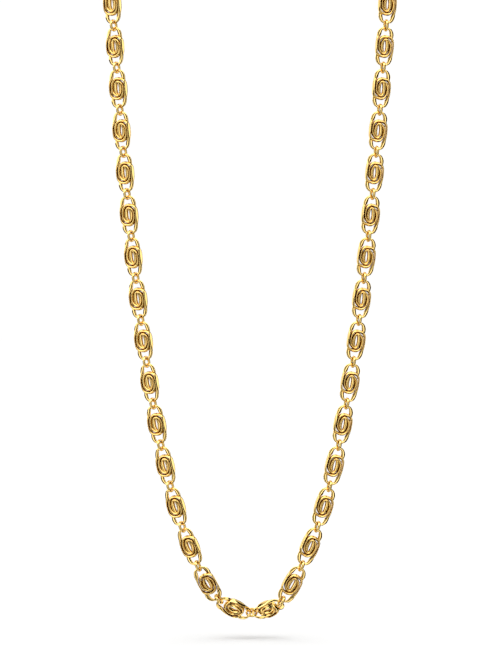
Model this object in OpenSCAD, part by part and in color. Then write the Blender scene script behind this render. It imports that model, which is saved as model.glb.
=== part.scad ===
// Oval link chain, a necklace of scroll-filled oval links joined by round jump rings.
// Millimetres. +Z is up and -Y is the front. The origin lies on the inner side of the clasp,
// where the necklace rests on the back of a neck.

/* [Chain] */
// Distance between neighbouring jump rings on a straight stretch
pitch = 13; // [12.9:0.05:13.1]
// Size of the curve that the hanging front makes at its lowest point
hang_curve = 13.3; // [12.5:0.1:14.1]
// How fast the neck part turns from backwards to sideways
neck_turn = 1.9; // [1.8:0.05:2]

/* [Link frame] */
// Outer length
link_len = 12.1; // [12:0.05:12.15]
// Outer width
link_w = 5.1; // [5:0.02:5.16]
// Wire
frame_wire = 0.66; // [0.62:0.01:0.68]

/* [Scrolls that fill the link] */
// Outer width
scroll_w = 5.52; // [5.48:0.02:5.56]
// Outer height
scroll_h = 6.6; // [6.5:0.05:6.65]
// Wire
scroll_wire = 0.62; // [0.6:0.01:0.64]
// Depth from the front scroll to the back one, wire centre to wire centre
scroll_gap = 0.9; // [0.86:0.01:0.92]
// Turn of the front scroll in the link's plane, and of the back one the other way
scroll_roll = 4; // [3:0.5:6]

/* [Inner scrolls] */
// Outer width
inner_w = 3.2; // [3.15:0.01:3.24]
// Outer height
inner_h = 6.2; // [6.1:0.05:6.25]
// Wire
inner_wire = 0.6; // [0.58:0.01:0.62]
// Depth from the front one to the back one, wire centre to wire centre
inner_gap = 0.6; // [0.58:0.01:0.62]
// Turn in the link's plane, against the scroll outside it
inner_roll = 8; // [7:0.5:9]

/* [Middle slot] */
// Outer width of the oval around the slot
slot_w = 2.32; // [2.28:0.02:2.36]
// Its outer height
slot_h = 4.02; // [3.9:0.02:4.1]
// Its wire
slot_wire = 0.62; // [0.6:0.01:0.64]

/* [Jump rings] */
// Wire
ring_wire = 0.65; // [0.6:0.01:0.66]
// Free play between a jump ring and the link end in it
ring_play = 0.13; // [0.12:0.01:0.15]
// From the centre of a slack ring to the middle of the wire in it
slack_hold = 0.4; // [0.4:0.01:0.5]

/* [Clasp] */
// Diameter of the barrel
barrel_d = 4.4; // [4:0.1:5]
// Length of each tapered end
barrel_nose = 1.1; // [1:0.1:1.3]
// Diameter of the tapered ends where the loops stand
barrel_end_d = 2.6; // [2.4:0.1:3]
// Outer diameter of each end loop
loop_d = 3; // [2.8:0.1:3.2]

/* [Turns] */
// Turn of the left side's links towards the viewer's left
left_turn = 27; // [20:1:32]
// Turn of the right side's links towards the viewer's right
right_turn = 15; // [10:1:25]
// Small uneven turn from link to link
uneven_turn = 3; // [0:0.5:4]

/* [Hidden] */
$fn = 32;
LEFT = -1;
RIGHT = 1;
gold = [0.90, 0.72, 0.33];
// Links on each side of the bottom ring, and those of them in the flat front
links_per_side = 23;
front_links = 16;
// How far the links on the neck face sideways and upwards
neck_out = 0.8;
neck_up = 0.9;

// Slack rings of each side, counted from the bottom one
slack_rings = 2;

// The links each side of the bottom ring lean back, and turn on their own axes.
// For each, the left one and then the right one: slope, lean backwards and turn
SLOPE = 0;
LEAN = 1;
TURN = 2;
bottom_links = [
    [[28, 22, -28], [31, 35, 32]],
    [[61, 13, -8], [62, 4, 12]],
];

// Ovals of wire in a link: outer width, outer height, wire diameter, depth behind the
// link's middle plane, and turn in that plane
WIDTH = 0;
HEIGHT = 1;
WIRE = 2;
DEPTH = 3;
ROLL = 4;
ovals = [
    [link_w, link_len, frame_wire, 0, 0],
    [scroll_w, scroll_h, scroll_wire, -scroll_gap / 2, scroll_roll],
    [scroll_w, scroll_h, scroll_wire, scroll_gap / 2, -scroll_roll],
    [inner_w, inner_h, inner_wire, -inner_gap / 2, -inner_roll],
    [inner_w, inner_h, inner_wire, inner_gap / 2, inner_roll],
    [slot_w, slot_h, slot_wire, 0, 0],
];

// The frame's end arches are half circles of this radius along the wire's middle
arch_r = (link_w - frame_wire) / 2;
// From the link's centre to an arch's centre
bar_half = (link_len - link_w) / 2;
// From a ring's centre to the middle of the wire that it holds
hold = (pitch - link_len + frame_wire) / 2;
ring_r = hold + frame_wire / 2 + ring_play + ring_wire / 2;
loop_r = (loop_d - frame_wire) / 2;

function unit(v) = v / norm(v);
// The part of a direction that lies square to a normal
function square_to(normal, v) = unit(v - (v * normal) * normal);
// Place along the hidden neck part, from 0 at its start to 1 at the clasp
function along_neck(k) = max(0, (k - front_links - 0.5) / (links_per_side + 0.5 - front_links));

function bottom_link(side, k, column) = bottom_links[k - 1][side == LEFT ? 0 : 1][column];
function slope(side, k) = k <= len(bottom_links) ? bottom_link(side, k, SLOPE)
    : k <= front_links ? atan((k - 0.5) * pitch / hang_curve)
    : 90 * pow(1 - along_neck(k), 2);
function lean(side, k) = k <= len(bottom_links) ? bottom_link(side, k, LEAN) : 0;
function turn(side, k) = k <= len(bottom_links) ? bottom_link(side, k, TURN)
    : (side == LEFT ? -left_turn : right_turn) * (1 - along_neck(k)) + uneven_turn * sin(137 * k);

// Direction of link k from its lower to its upper end, counted from the bottom ring
function link_dir(side, k) =
    k > links_per_side ? [-side, 0, 0]
    : let (slope = slope(side, k))
        k <= front_links
            ? let (lean = lean(side, k))
                [side * cos(slope) * cos(lean), -sin(lean), sin(slope) * cos(lean)]
            : let (heading = 90 + 90 * pow(along_neck(k), neck_turn))
                [side * cos(heading) * cos(slope), sin(heading) * cos(slope), sin(slope)];
// The side of link k that faces away from the wearer
function outward(side, k) = let (a = 180 * along_neck(k))
    [side * neck_out * sin(a), -cos(a), neck_up * sin(a)];
// The back direction of link k, square to the link and turned about it
function link_back(side, k) = let (d = link_dir(side, k), flat = square_to(d, outward(side, k)))
    -(cos(turn(side, k)) * flat + sin(turn(side, k)) * cross(d, flat));

// Ring k is the one after link k, and midway in direction between its two links
function ring_dir(side, k) = k == 0 ? [side, 0, 0] : unit(link_dir(side, k) + link_dir(side, k + 1));
function ring_back(side, k) = square_to(ring_dir(side, k),
    k == 0 ? link_back(LEFT, 1) + link_back(RIGHT, 1)
    : k == links_per_side ? link_back(side, k) - [0, 1, 0]
    : link_back(side, k) + link_back(side, k + 1));

// From an arch's centre to the centre of ring k, which pulls on it along dir
function hook(k, dir, back, r) = r * square_to(back, dir) + (k < slack_rings ? slack_hold : hold) * dir;
// Centres, with the bottom ring's as zero
function link_at(side, k) = ring_at(side, k - 1) + bar_half * link_dir(side, k)
    + hook(k - 1, ring_dir(side, k - 1), link_back(side, k), arch_r);
function ring_at(side, k) = k == 0 ? [0, 0, 0]
    : link_at(side, k) + bar_half * link_dir(side, k)
        + hook(k, ring_dir(side, k), link_back(side, k), arch_r);
// Centre of the clasp's loop in the last ring
function loop_at(side) = ring_at(side, links_per_side)
    + hook(links_per_side, ring_dir(side, links_per_side), [0, 1, 0], loop_r);

clasp_mid = (loop_at(LEFT) + loop_at(RIGHT)) / 2;
clasp_half = norm(loop_at(LEFT) - clasp_mid);
clasp_dir = unit(loop_at(LEFT) - clasp_mid);
origin = clasp_mid - [0, barrel_d / 2, 0];

// Stands children at a place, with their Z along the chain and their Y to the back
module stand(at, along, back) {
    across = cross(back, along);
    multmatrix([
        [across[0], back[0], along[0], at[0] - origin[0]],
        [across[1], back[1], along[1], at[1] - origin[1]],
        [across[2], back[2], along[2], at[2] - origin[2]],
        [0, 0, 0, 1]]) children();
}

// A quarter of an upright oval of wire: an end arch or a straight rail
module oval_quarter(oval, quarter) {
    half_w = (oval[WIDTH] - oval[WIRE]) / 2;
    rail_half = (oval[HEIGHT] - oval[WIDTH]) / 2;
    translate([0, oval[DEPTH], 0]) rotate([0, oval[ROLL], 0]) rotate([90, 0, 0])
        rotate([0, 0, 90 * quarter])
            if (quarter % 2 == 0)
                translate([0, rail_half, 0])
                    rotate_extrude(angle = 180) translate([half_w, 0]) circle(d = oval[WIRE]);
            else
                translate([0, half_w, 0]) rotate([0, 90, 0])
                    cylinder(d = oval[WIRE], h = 2 * rail_half, center = true);
}

module link()
    for (i = [0 : 4 * len(ovals) - 1]) oval_quarter(ovals[floor(i / 4)], i % 4);

module jump_ring()
    rotate([0, 90, 0]) rotate_extrude() translate([ring_r, 0]) circle(d = ring_wire);

// Links and rings of one side. The left side also has the bottom ring.
module strand(side, first_ring) {
    for (k = [1 : links_per_side])
        stand(link_at(side, k), link_dir(side, k), link_back(side, k)) link();
    for (k = [first_ring : links_per_side])
        stand(ring_at(side, k), ring_dir(side, k), ring_back(side, k)) jump_ring();
}

// A plain barrel with a fixed loop at each end
module barrel() {
    straight_half = clasp_half - 1.5 * barrel_nose;
    cylinder(d = barrel_d, h = 2 * straight_half, center = true);
    for (end = [0, 180]) rotate([0, end, 0]) {
        translate([0, 0, straight_half]) cylinder(d1 = barrel_d, d2 = barrel_end_d, h = barrel_nose);
        translate([0, 0, clasp_half]) rotate([90, 0, 0])
            rotate_extrude() translate([loop_r, 0]) circle(d = frame_wire);
    }
}

module left_strand() color(gold) strand(LEFT, 0);
module right_strand() color(gold) strand(RIGHT, 1);
module clasp() color(gold) stand(clasp_mid, clasp_dir, square_to(clasp_dir, [0, -1, 0])) barrel();

left_strand();
right_strand();
clasp();
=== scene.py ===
"""A hanging oval link chain: scroll-filled links and jump rings of polished gold."""
from math import atan, cos, pi, radians, sin

import bmesh
import bpy
from mathutils import Matrix, Vector


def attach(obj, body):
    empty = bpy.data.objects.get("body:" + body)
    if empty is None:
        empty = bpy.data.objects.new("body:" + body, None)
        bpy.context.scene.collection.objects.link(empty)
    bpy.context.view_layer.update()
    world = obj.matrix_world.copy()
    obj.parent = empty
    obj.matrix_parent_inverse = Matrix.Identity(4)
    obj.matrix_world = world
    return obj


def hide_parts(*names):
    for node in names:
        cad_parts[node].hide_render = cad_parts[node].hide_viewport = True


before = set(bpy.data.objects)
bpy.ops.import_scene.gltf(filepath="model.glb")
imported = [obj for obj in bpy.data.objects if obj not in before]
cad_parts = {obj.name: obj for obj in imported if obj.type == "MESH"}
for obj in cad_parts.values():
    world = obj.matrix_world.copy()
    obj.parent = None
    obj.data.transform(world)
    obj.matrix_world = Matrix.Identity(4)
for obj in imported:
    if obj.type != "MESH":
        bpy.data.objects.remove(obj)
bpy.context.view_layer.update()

# Sizes of the chain are in millimetres, and meshes are scaled to metres as they are placed
MM = 0.001
METRES = Matrix.Scale(MM, 4)
LEFT, RIGHT = -1, 1
SIDE_NAMES = {LEFT: "left", RIGHT: "right"}
LINKS_PER_SIDE = 23
# How many links of each side are in its lower piece
LOWER_LINKS = 12
LINK_LEN, LINK_W, FRAME_WIRE = 12.1, 5.1, 0.66
# A ring's wire is a little broader along the ring's axis
RING_WIRE, RING_BAND, RING_PLAY = 0.65, 0.86, 0.13
BARREL_D, LOOP_D = 4.4, 3.0

# The flat front hangs in a curve, and the other links lead back over the neck to the clasp
PITCH = 13.0
HANG_CURVE = 13.3
FRONT_LINKS = 16
NECK_TURN = 1.9
# How far the links on the neck face sideways and upwards
NECK_OUT, NECK_UP = 0.8, 0.9
# Turns of the links on their own axes, in degrees, and the angle that steps the uneven one on
TURNS = {LEFT: -27, RIGHT: 15}
UNEVEN_TURN, UNEVEN_STEP = 3, 137
# The two links next to the bottom ring on each side: slope, lean backwards and turn
SLOPE, LEAN, TURN = 0, 1, 2
BOTTOM_LINKS = {LEFT: ((28, 22, -28), (61, 13, -8)), RIGHT: ((31, 35, 32), (62, 4, 12))}

# Radii are along the middle of the wire
ARCH_R = (LINK_W - FRAME_WIRE) / 2
LOOP_R = (LOOP_D - FRAME_WIRE) / 2
# From a link's centre to the centre of its end arch
BAR_HALF = (LINK_LEN - LINK_W) / 2
# From a ring's centre to the middle of the wire that it holds
HOLD = (PITCH - LINK_LEN + FRAME_WIRE) / 2
# The lowest rings on each side hang slack
SLACK_RINGS, SLACK_HOLD = 2, 0.4
RING_R = HOLD + FRAME_WIRE / 2 + RING_PLAY + RING_WIRE / 2


def square_to(normal, v):
    """The part of a direction that lies square to a normal."""
    return (v - v.dot(normal) * normal).normalized()


def along_neck(k):
    """Place along the hidden neck part, from 0 at its start to 1 at the clasp."""
    return max(0, (k - FRONT_LINKS - 0.5) / (LINKS_PER_SIDE + 0.5 - FRONT_LINKS))


def link_dir(side, k):
    """Direction of link k from its lower to its upper end, counted from the bottom ring."""
    if k > LINKS_PER_SIDE:
        return Vector((-side, 0, 0))
    if k > FRONT_LINKS:
        slope = radians(90 * (1 - along_neck(k)) ** 2)
        heading = radians(90 + 90 * along_neck(k) ** NECK_TURN)
        return Vector((side * cos(heading) * cos(slope), sin(heading) * cos(slope), sin(slope)))
    if k <= len(BOTTOM_LINKS[side]):
        slope = radians(BOTTOM_LINKS[side][k - 1][SLOPE])
        lean = radians(BOTTOM_LINKS[side][k - 1][LEAN])
    else:
        slope = atan((k - 0.5) * PITCH / HANG_CURVE)
        lean = 0
    return Vector((side * cos(slope) * cos(lean), -sin(lean), sin(slope) * cos(lean)))


def link_back(side, k):
    """The back direction of link k, square to the link and turned about it."""
    if k <= len(BOTTOM_LINKS[side]):
        turn = radians(BOTTOM_LINKS[side][k - 1][TURN])
    else:
        uneven = UNEVEN_TURN * sin(radians(UNEVEN_STEP * k))
        turn = radians(TURNS[side] * (1 - along_neck(k)) + uneven)
    a = pi * along_neck(k)
    outward = Vector((side * NECK_OUT * sin(a), -cos(a), NECK_UP * sin(a)))
    along = link_dir(side, k)
    flat = square_to(along, outward)
    return -(cos(turn) * flat + sin(turn) * along.cross(flat))


def ring_dir(side, k):
    """Direction of the ring after link k, midway between its two links."""
    if k == 0:
        return Vector((side, 0, 0))
    return (link_dir(side, k) + link_dir(side, k + 1)).normalized()


def ring_back(side, k):
    """The back direction of the ring after link k, midway between what it joins."""
    if k == 0:
        both = link_back(LEFT, 1) + link_back(RIGHT, 1)
    elif k == LINKS_PER_SIDE:
        both = link_back(side, k) - Vector((0, 1, 0))
    else:
        both = link_back(side, k) + link_back(side, k + 1)
    return square_to(ring_dir(side, k), both)


def hook(k, along, back, r):
    """From an arch's centre to the centre of ring k, which pulls on it."""
    return r * square_to(back, along) + (SLACK_HOLD if k < SLACK_RINGS else HOLD) * along


def chain_places(side):
    """Centres of the links and rings of one side, with the bottom ring's as zero."""
    rings, links = [Vector((0, 0, 0))], []
    for k in range(1, LINKS_PER_SIDE + 1):
        along, back = link_dir(side, k), link_back(side, k)
        link = rings[-1] + hook(k - 1, ring_dir(side, k - 1), back, ARCH_R) + BAR_HALF * along
        links.append(link)
        rings.append(link + BAR_HALF * along + hook(k, ring_dir(side, k), back, ARCH_R))
    return links, rings


# Centres of the links, of the rings, and of the clasp's loop on each side
links_at, rings_at, loop_at = {}, {}, {}
for side in (LEFT, RIGHT):
    links_at[side], rings_at[side] = chain_places(side)
    last_dir = ring_dir(side, LINKS_PER_SIDE)
    loop_at[side] = rings_at[side][-1] + hook(LINKS_PER_SIDE, last_dir, Vector((0, 1, 0)), LOOP_R)
clasp_mid = (loop_at[LEFT] + loop_at[RIGHT]) / 2
# The part's origin is on the inner side of the clasp
origin = clasp_mid - Vector((0, BARREL_D / 2, 0))


def stand(at, along, back):
    """A place in metres for a mesh, with its Z along the chain and its Y to the back."""
    turned = Matrix((back.cross(along), back, along)).transposed().to_4x4()
    return METRES @ Matrix.Translation(at - origin) @ turned


# Links and rings

# Sides of a strip's section, and sections round a ring
SECTION_SIDES = 16
RING_STEPS = 44
# Shape of a section: this is round, less is ridged and more is boxy
ROUND = 2


def sweep(bm, path, closed):
    """A strip along a path of (point, width, depth, shape), with its depth along the Y axis."""
    count = len(path)
    loops = []
    for i, (point, width, depth, shape) in enumerate(path):
        before = path[i - 1][0] if closed or i else point
        after = path[(i + 1) % count][0] if closed or i < count - 1 else point
        along = (after - before).normalized()
        out = along.cross(Vector((0, 1, 0))).normalized()
        made = bmesh.ops.create_circle(bm, cap_ends=not closed and i in (0, count - 1),
                                       segments=SECTION_SIDES, radius=1)
        for v in made["verts"]:
            v.co /= (abs(v.co.x) ** shape + abs(v.co.y) ** shape) ** (1 / shape)
        section = Matrix((width / 2 * out, depth / 2 * along.cross(out), along)).transposed()
        bmesh.ops.transform(bm, matrix=Matrix.Translation(point) @ section.to_4x4(),
                            verts=made["verts"])
        loops.append(list(dict.fromkeys(e for v in made["verts"] for e in v.link_edges)))
    for i in range(count if closed else count - 1):
        bmesh.ops.bridge_loops(bm, edges=loops[i] + loops[(i + 1) % count])


# One of a link's two strips: across, up, depth behind the link's middle plane, width in that
# plane, depth, and shape. It starts inside the right rail, goes round the upper end, where it
# lies flat at the shoulders, stands on edge down the left rail, and winds in to the middle slot.
STRIP = (
    (2.26, 1.50, 0.52, 0.30, 0.70, 2.0),
    (2.18, 2.20, 0.40, 0.60, 0.66, 2.0),
    (2.08, 3.00, 0.18, 1.10, 0.62, 2.0),
    (1.98, 3.80, 0.04, 1.36, 0.60, 2.0),
    (1.70, 4.70, 0.00, 1.20, 0.62, 2.0),
    (1.34, 5.24, 0.00, 0.92, 0.64, 2.0),
    (0.72, 5.60, 0.00, 0.72, 0.66, 2.0),
    (0.00, 5.72, 0.00, 0.66, 0.66, 2.0),
    (-0.72, 5.60, 0.00, 0.72, 0.66, 2.0),
    (-1.34, 5.24, 0.00, 0.92, 0.64, 2.0),
    (-1.70, 4.70, 0.00, 1.20, 0.62, 2.0),
    (-1.98, 3.80, 0.00, 1.36, 0.70, 2.0),
    (-2.20, 2.95, 0.00, 1.06, 1.10, 2.0),
    (-2.46, 2.10, 0.00, 0.62, 1.64, 2.6),
    (-2.60, 1.20, 0.00, 0.36, 1.98, 3.4),
    (-2.64, 0.10, 0.00, 0.30, 2.06, 3.6),
    (-2.60, -1.00, 0.00, 0.34, 2.06, 3.4),
    (-2.40, -1.90, 0.00, 0.60, 2.00, 2.4),
    (-1.92, -2.54, 0.00, 0.84, 1.90, 1.7),
    (-1.06, -2.90, 0.00, 0.96, 1.80, 1.5),
    (-0.05, -3.04, 0.00, 1.00, 1.74, 1.5),
    (0.84, -2.80, 0.00, 1.00, 1.76, 1.5),
    (1.48, -2.12, 0.00, 0.96, 1.80, 1.5),
    (1.84, -1.10, 0.00, 0.94, 1.84, 1.5),
    (1.93, 0.00, 0.00, 0.92, 1.84, 1.5),
    (1.74, 0.90, 0.00, 0.94, 1.80, 1.5),
    (1.22, 1.66, 0.00, 0.94, 1.74, 1.5),
    (0.60, 2.06, 0.00, 0.92, 1.70, 1.5),
    (-0.06, 2.14, 0.00, 0.90, 1.66, 1.5),
    (-0.50, 1.76, 0.00, 0.98, 1.64, 1.5),
    (-0.80, 0.90, 0.00, 1.26, 1.62, 1.5),
    (-0.90, -0.10, 0.00, 1.32, 1.60, 1.5),
    (-0.80, -0.90, 0.00, 1.26, 1.58, 1.5),
    (-0.52, -1.60, 0.00, 1.00, 1.54, 1.5),
    (-0.14, -2.06, 0.00, 0.66, 1.50, 1.6),
)
# Sections made for each row
STEPS_BETWEEN = 3


def through(rows, steps):
    """A smooth open curve through rows of numbers."""
    rows = [Vector(row) for row in rows]
    knots = [2 * rows[0] - rows[1]] + rows + [2 * rows[-1] - rows[-2]]
    curve = []
    for a, b, c, d in zip(knots, knots[1:], knots[2:], knots[3:]):
        for i in range(steps):
            t = i / steps
            curve.append(b + t / 2 * (c - a + t * (2 * a - 5 * b + 4 * c - d
                                                   + t * (3 * b - a - 3 * c + d))))
    return curve + [rows[-1]]


def make_link():
    """Two strips, each the other turned half round, wound into one another."""
    bm = bmesh.new()
    path = [(Vector((x, y, z)), *section) for x, z, y, *section in through(STRIP, STEPS_BETWEEN)]
    for turn in (Matrix.Identity(3), Matrix.Rotation(pi, 3, "Y")):
        sweep(bm, [(turn @ point, *section) for point, *section in path], closed=False)
    return finished(bm, "link_pattern")


def make_jump_ring():
    """A plain ring, standing square to the chain."""
    bm = bmesh.new()
    path = [(Vector((RING_R * cos(a), 0, RING_R * sin(a))), RING_WIRE, RING_BAND, ROUND)
            for a in (2 * pi * i / RING_STEPS for i in range(RING_STEPS))]
    sweep(bm, path, closed=True)
    bmesh.ops.rotate(bm, cent=(0, 0, 0), matrix=Matrix.Rotation(pi / 2, 3, "Z"), verts=bm.verts)
    return finished(bm, "ring_pattern")


def finished(bm, name):
    """A mesh with smooth shading and its faces pointing outwards."""
    bmesh.ops.recalc_face_normals(bm, faces=bm.faces)
    for face in bm.faces:
        face.smooth = True
    mesh = bpy.data.meshes.new(name)
    bm.to_mesh(mesh)
    bm.free()
    return mesh


def make_piece(name, pattern, places, material, node):
    """Copies of a pattern at their places, as one piece that stands for a CAD node."""
    bm = bmesh.new()
    for place in places:
        before = len(bm.verts)
        bm.from_mesh(pattern)
        bm.verts.ensure_lookup_table()
        bmesh.ops.transform(bm, matrix=place, verts=bm.verts[before:])
    piece = bpy.data.objects.new(name, finished(bm, name))
    piece.data.materials.append(material)
    bpy.context.scene.collection.objects.link(piece)
    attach(piece, "root")
    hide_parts(node)


# Gold

# The deeper and paler patches, the tint at glancing angles, and the painted shade that darkens the
# grooves
GOLD_DEEP = (0.91, 0.620, 0.180, 1)
GOLD_PALE = (0.95, 0.675, 0.225, 1)
GOLD_GLANCING = (1.0, 0.80, 0.45, 1)
PAINTED_GROOVE_SHADE = (0.38, 0.185, 0.036, 1)
# Sockets of the mixing node that carry colours
MIX_FIRST, MIX_SECOND, MIX_RESULT = 6, 7, 2


def add_node(tree, kind, values):
    """A new material node with its plain values."""
    node = tree.nodes.new(kind)
    for socket, value in values.items():
        node.inputs[socket].default_value = value
    return node


def polished_gold():
    """Polished yellow gold, faintly uneven, with fine wear, and painted shade darkening its grooves.
    """
    material = bpy.data.materials.new("polished_gold")
    material.use_nodes = True
    tree = material.node_tree
    join = tree.links.new
    shader = tree.nodes["Principled BSDF"]
    shader.inputs["Metallic"].default_value = 1
    shader.inputs["Specular Tint"].default_value = GOLD_GLANCING
    shader.inputs["Coat Weight"].default_value = 0.6
    shader.inputs["Coat Roughness"].default_value = 0.08
    place = tree.nodes.new("ShaderNodeTexCoord").outputs["Object"]

    tone = add_node(tree, "ShaderNodeTexNoise", {"Scale": 180})
    join(place, tone.inputs["Vector"])
    colour = tree.nodes.new("ShaderNodeValToRGB")
    for stop, position, shade in zip(colour.color_ramp.elements, (0.3, 0.7), (GOLD_DEEP, GOLD_PALE)):
        stop.position = position
        stop.color = shade
    join(tone.outputs["Fac"], colour.inputs["Fac"])

    # Painted shade: the base colour turns dark brown in grooves, where other gold is nearer than
    # this distance, in metres
    nook = add_node(tree, "ShaderNodeAmbientOcclusion", {"Distance": 0.0012})
    nook.samples = 4
    openness = add_node(tree, "ShaderNodeMapRange", {"From Min": 0.30, "From Max": 0.72})
    join(nook.outputs["AO"], openness.inputs["Value"])
    # Mixes the painted groove shade into the gold's colour
    grooves = tree.nodes.new("ShaderNodeMix")
    grooves.data_type = "RGBA"
    grooves.inputs[MIX_FIRST].default_value = PAINTED_GROOVE_SHADE
    join(openness.outputs["Result"], grooves.inputs["Factor"])
    join(colour.outputs["Color"], grooves.inputs[MIX_SECOND])
    join(grooves.outputs[MIX_RESULT], shader.inputs["Base Color"])

    wear = add_node(tree, "ShaderNodeTexNoise", {"Scale": 900, "Detail": 4})
    join(place, wear.inputs["Vector"])
    gloss = add_node(tree, "ShaderNodeMapRange", {"To Min": 0.05, "To Max": 0.12})
    join(wear.outputs["Fac"], gloss.inputs["Value"])
    join(gloss.outputs["Result"], shader.inputs["Roughness"])
    bump = add_node(tree, "ShaderNodeBump", {"Strength": 0.12, "Distance": 0.00005})
    join(wear.outputs["Fac"], bump.inputs["Height"])
    join(bump.outputs["Normal"], shader.inputs["Normal"])
    return material


gold = polished_gold()
link_pattern = make_link()
ring_pattern = make_jump_ring()
for side, name in SIDE_NAMES.items():
    node = f"{name}_strand"
    ks = range(1, LINKS_PER_SIDE + 1)
    places = [stand(links_at[side][k - 1], link_dir(side, k), link_back(side, k)) for k in ks]
    make_piece(f"{name}_lower_links", link_pattern, places[:LOWER_LINKS], gold, node)
    make_piece(f"{name}_upper_links", link_pattern, places[LOWER_LINKS:], gold, node)
    # The left side also has the bottom ring
    ks = range(0 if side == LEFT else 1, LINKS_PER_SIDE + 1)
    places = [stand(rings_at[side][k], ring_dir(side, k), ring_back(side, k)) for k in ks]
    make_piece(f"{name}_jump_rings", ring_pattern, places, gold, node)
clasp_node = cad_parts["clasp"]
clasp_node.data.materials.clear()
clasp_node.data.materials.append(gold)

# Studio: a pale floor in an even white room, and a tent of lit panels that only the gold reflects

# The bottom ring's centre, and the floor's depth under it, half width and grey
bottom = -origin * MM
FLOOR_DROP, FLOOR_HALF, FLOOR_GREY = 0.0076, 40, 0.42
# Height of what the picture shows, and its middle
PICTURE_H = 0.205
PICTURE_MID = bottom + Vector((-0.0005, -0.0114, 0.0860))
LENS, SENSOR = 150, 36
# The panels' distance from the chain, and their steps each way
PANEL_AWAY, PANEL_STEPS = 3, 12
# Panels of the tent: azimuths, elevations and brightness. What they leave open is black.
PANELS = {
    "left_key": ((-122, -84), (8, 44), 3.0),
    "left_front": ((-68, -42), (-50, 40), 1.8),
    "front": ((-12, 8), (-50, 30), 0.5),
    "right_front": ((20, 42), (-50, 40), 1.9),
    "right_behind": ((115, 138), (-30, 30), 1.5),
    "left_behind": ((-162, -139), (-30, 30), 1.4),
    "right_high": ((136, 180), (30, 44), 0.9),
    "left_high": ((-148, -128), (26, 50), 0.9),
    "behind": ((158, 176), (-4, 22), 1.3),
    "back": ((176, 198), (-34, 28), 0.55),
    "right_low": ((96, 150), (-60, -40), 2.0),
    "left_low": ((-150, -80), (-60, -40), 1.4),
    "top_left": ((-150, -10), (50, 90), 2.4),
    "top_right": ((60, 180), (50, 90), 1.6),
    "below_front": ((0, 60), (-90, -60), 1.6),
    "below_back": ((120, 300), (-90, -64), 1.6),
}


def stage_mesh(name, bm, grey, glow):
    """A matt thing of the studio, which may shine by itself."""
    mesh = bpy.data.meshes.new(name)
    bm.to_mesh(mesh)
    bm.free()
    thing = bpy.data.objects.new(name, mesh)
    bpy.context.scene.collection.objects.link(thing)
    material = bpy.data.materials.new(name)
    material.use_nodes = True
    shader = material.node_tree.nodes["Principled BSDF"]
    shader.inputs["Base Color"].default_value = (grey, grey, grey, 1)
    shader.inputs["Roughness"].default_value = 0.9
    shader.inputs["Specular IOR Level"].default_value = 0
    shader.inputs["Emission Color"].default_value = (1, 1, 1, 1)
    shader.inputs["Emission Strength"].default_value = glow
    mesh.materials.append(material)
    return thing


def around(azimuth, elevation, distance):
    """A point round the chain. Azimuth 0 is the camera's side and 90 the picture's right."""
    a, e = radians(azimuth), radians(elevation)
    return PICTURE_MID + distance * Vector((sin(a) * cos(e), -cos(a) * cos(e), sin(e)))


def make_floor():
    """A wide pale floor under the chain."""
    bm = bmesh.new()
    bmesh.ops.create_grid(bm, x_segments=1, y_segments=1, size=FLOOR_HALF,
                          matrix=Matrix.Translation((0, 0, bottom.z - FLOOR_DROP)))
    floor = stage_mesh("studio_floor", bm, FLOOR_GREY, glow=0)
    floor.visible_glossy = False


def make_panel(name, azimuths, elevations, level):
    """A lit panel of the tent round the chain, which shows only in reflections."""
    bm = bmesh.new()
    low, high = elevations
    arc = [bm.verts.new(around(azimuths[0], low + (high - low) * i / PANEL_STEPS, PANEL_AWAY))
           for i in range(PANEL_STEPS + 1)]
    edges = [bm.edges.new(pair) for pair in zip(arc, arc[1:])]
    bmesh.ops.spin(bm, geom=arc + edges, cent=PICTURE_MID, axis=(0, 0, 1), steps=PANEL_STEPS,
                   angle=radians(azimuths[1] - azimuths[0]))
    panel = stage_mesh(name, bm, 0, glow=level)
    panel.visible_camera = False
    panel.visible_shadow = False
    panel.visible_diffuse = False


def make_overhead(strength, angle):
    """Even soft light from straight above, which lays the chain's shadow on the floor."""
    light = bpy.data.lights.new("overhead", "SUN")
    light.energy, light.angle = strength, radians(angle)
    lamp = bpy.data.objects.new("overhead", light)
    bpy.context.scene.collection.objects.link(lamp)


def make_room(strength):
    """Even white light from all round, which the gold doesn't reflect."""
    world = bpy.data.worlds.new("white_room")
    bpy.context.scene.world = world
    world.use_nodes = True
    background = world.node_tree.nodes["Background"]
    background.inputs["Color"].default_value = (1, 1, 1, 1)
    background.inputs["Strength"].default_value = strength
    world.cycles_visibility.glossy = False


def make_camera():
    """A long lens, level with the picture's middle."""
    camera = bpy.data.cameras.new("camera")
    camera.lens, camera.sensor_width = LENS, SENSOR
    eye = bpy.data.objects.new("camera", camera)
    eye.location = PICTURE_MID - Vector((0, PICTURE_H * LENS / SENSOR, 0))
    eye.rotation_euler = (pi / 2, 0, 0)
    bpy.context.scene.collection.objects.link(eye)
    bpy.context.scene.camera = eye


make_floor()
make_overhead(strength=4.7, angle=95)
for name, panel in PANELS.items():
    make_panel(name, *panel)
make_room(strength=1.02)
make_camera()
bpy.context.scene.view_settings.view_transform = "Standard"
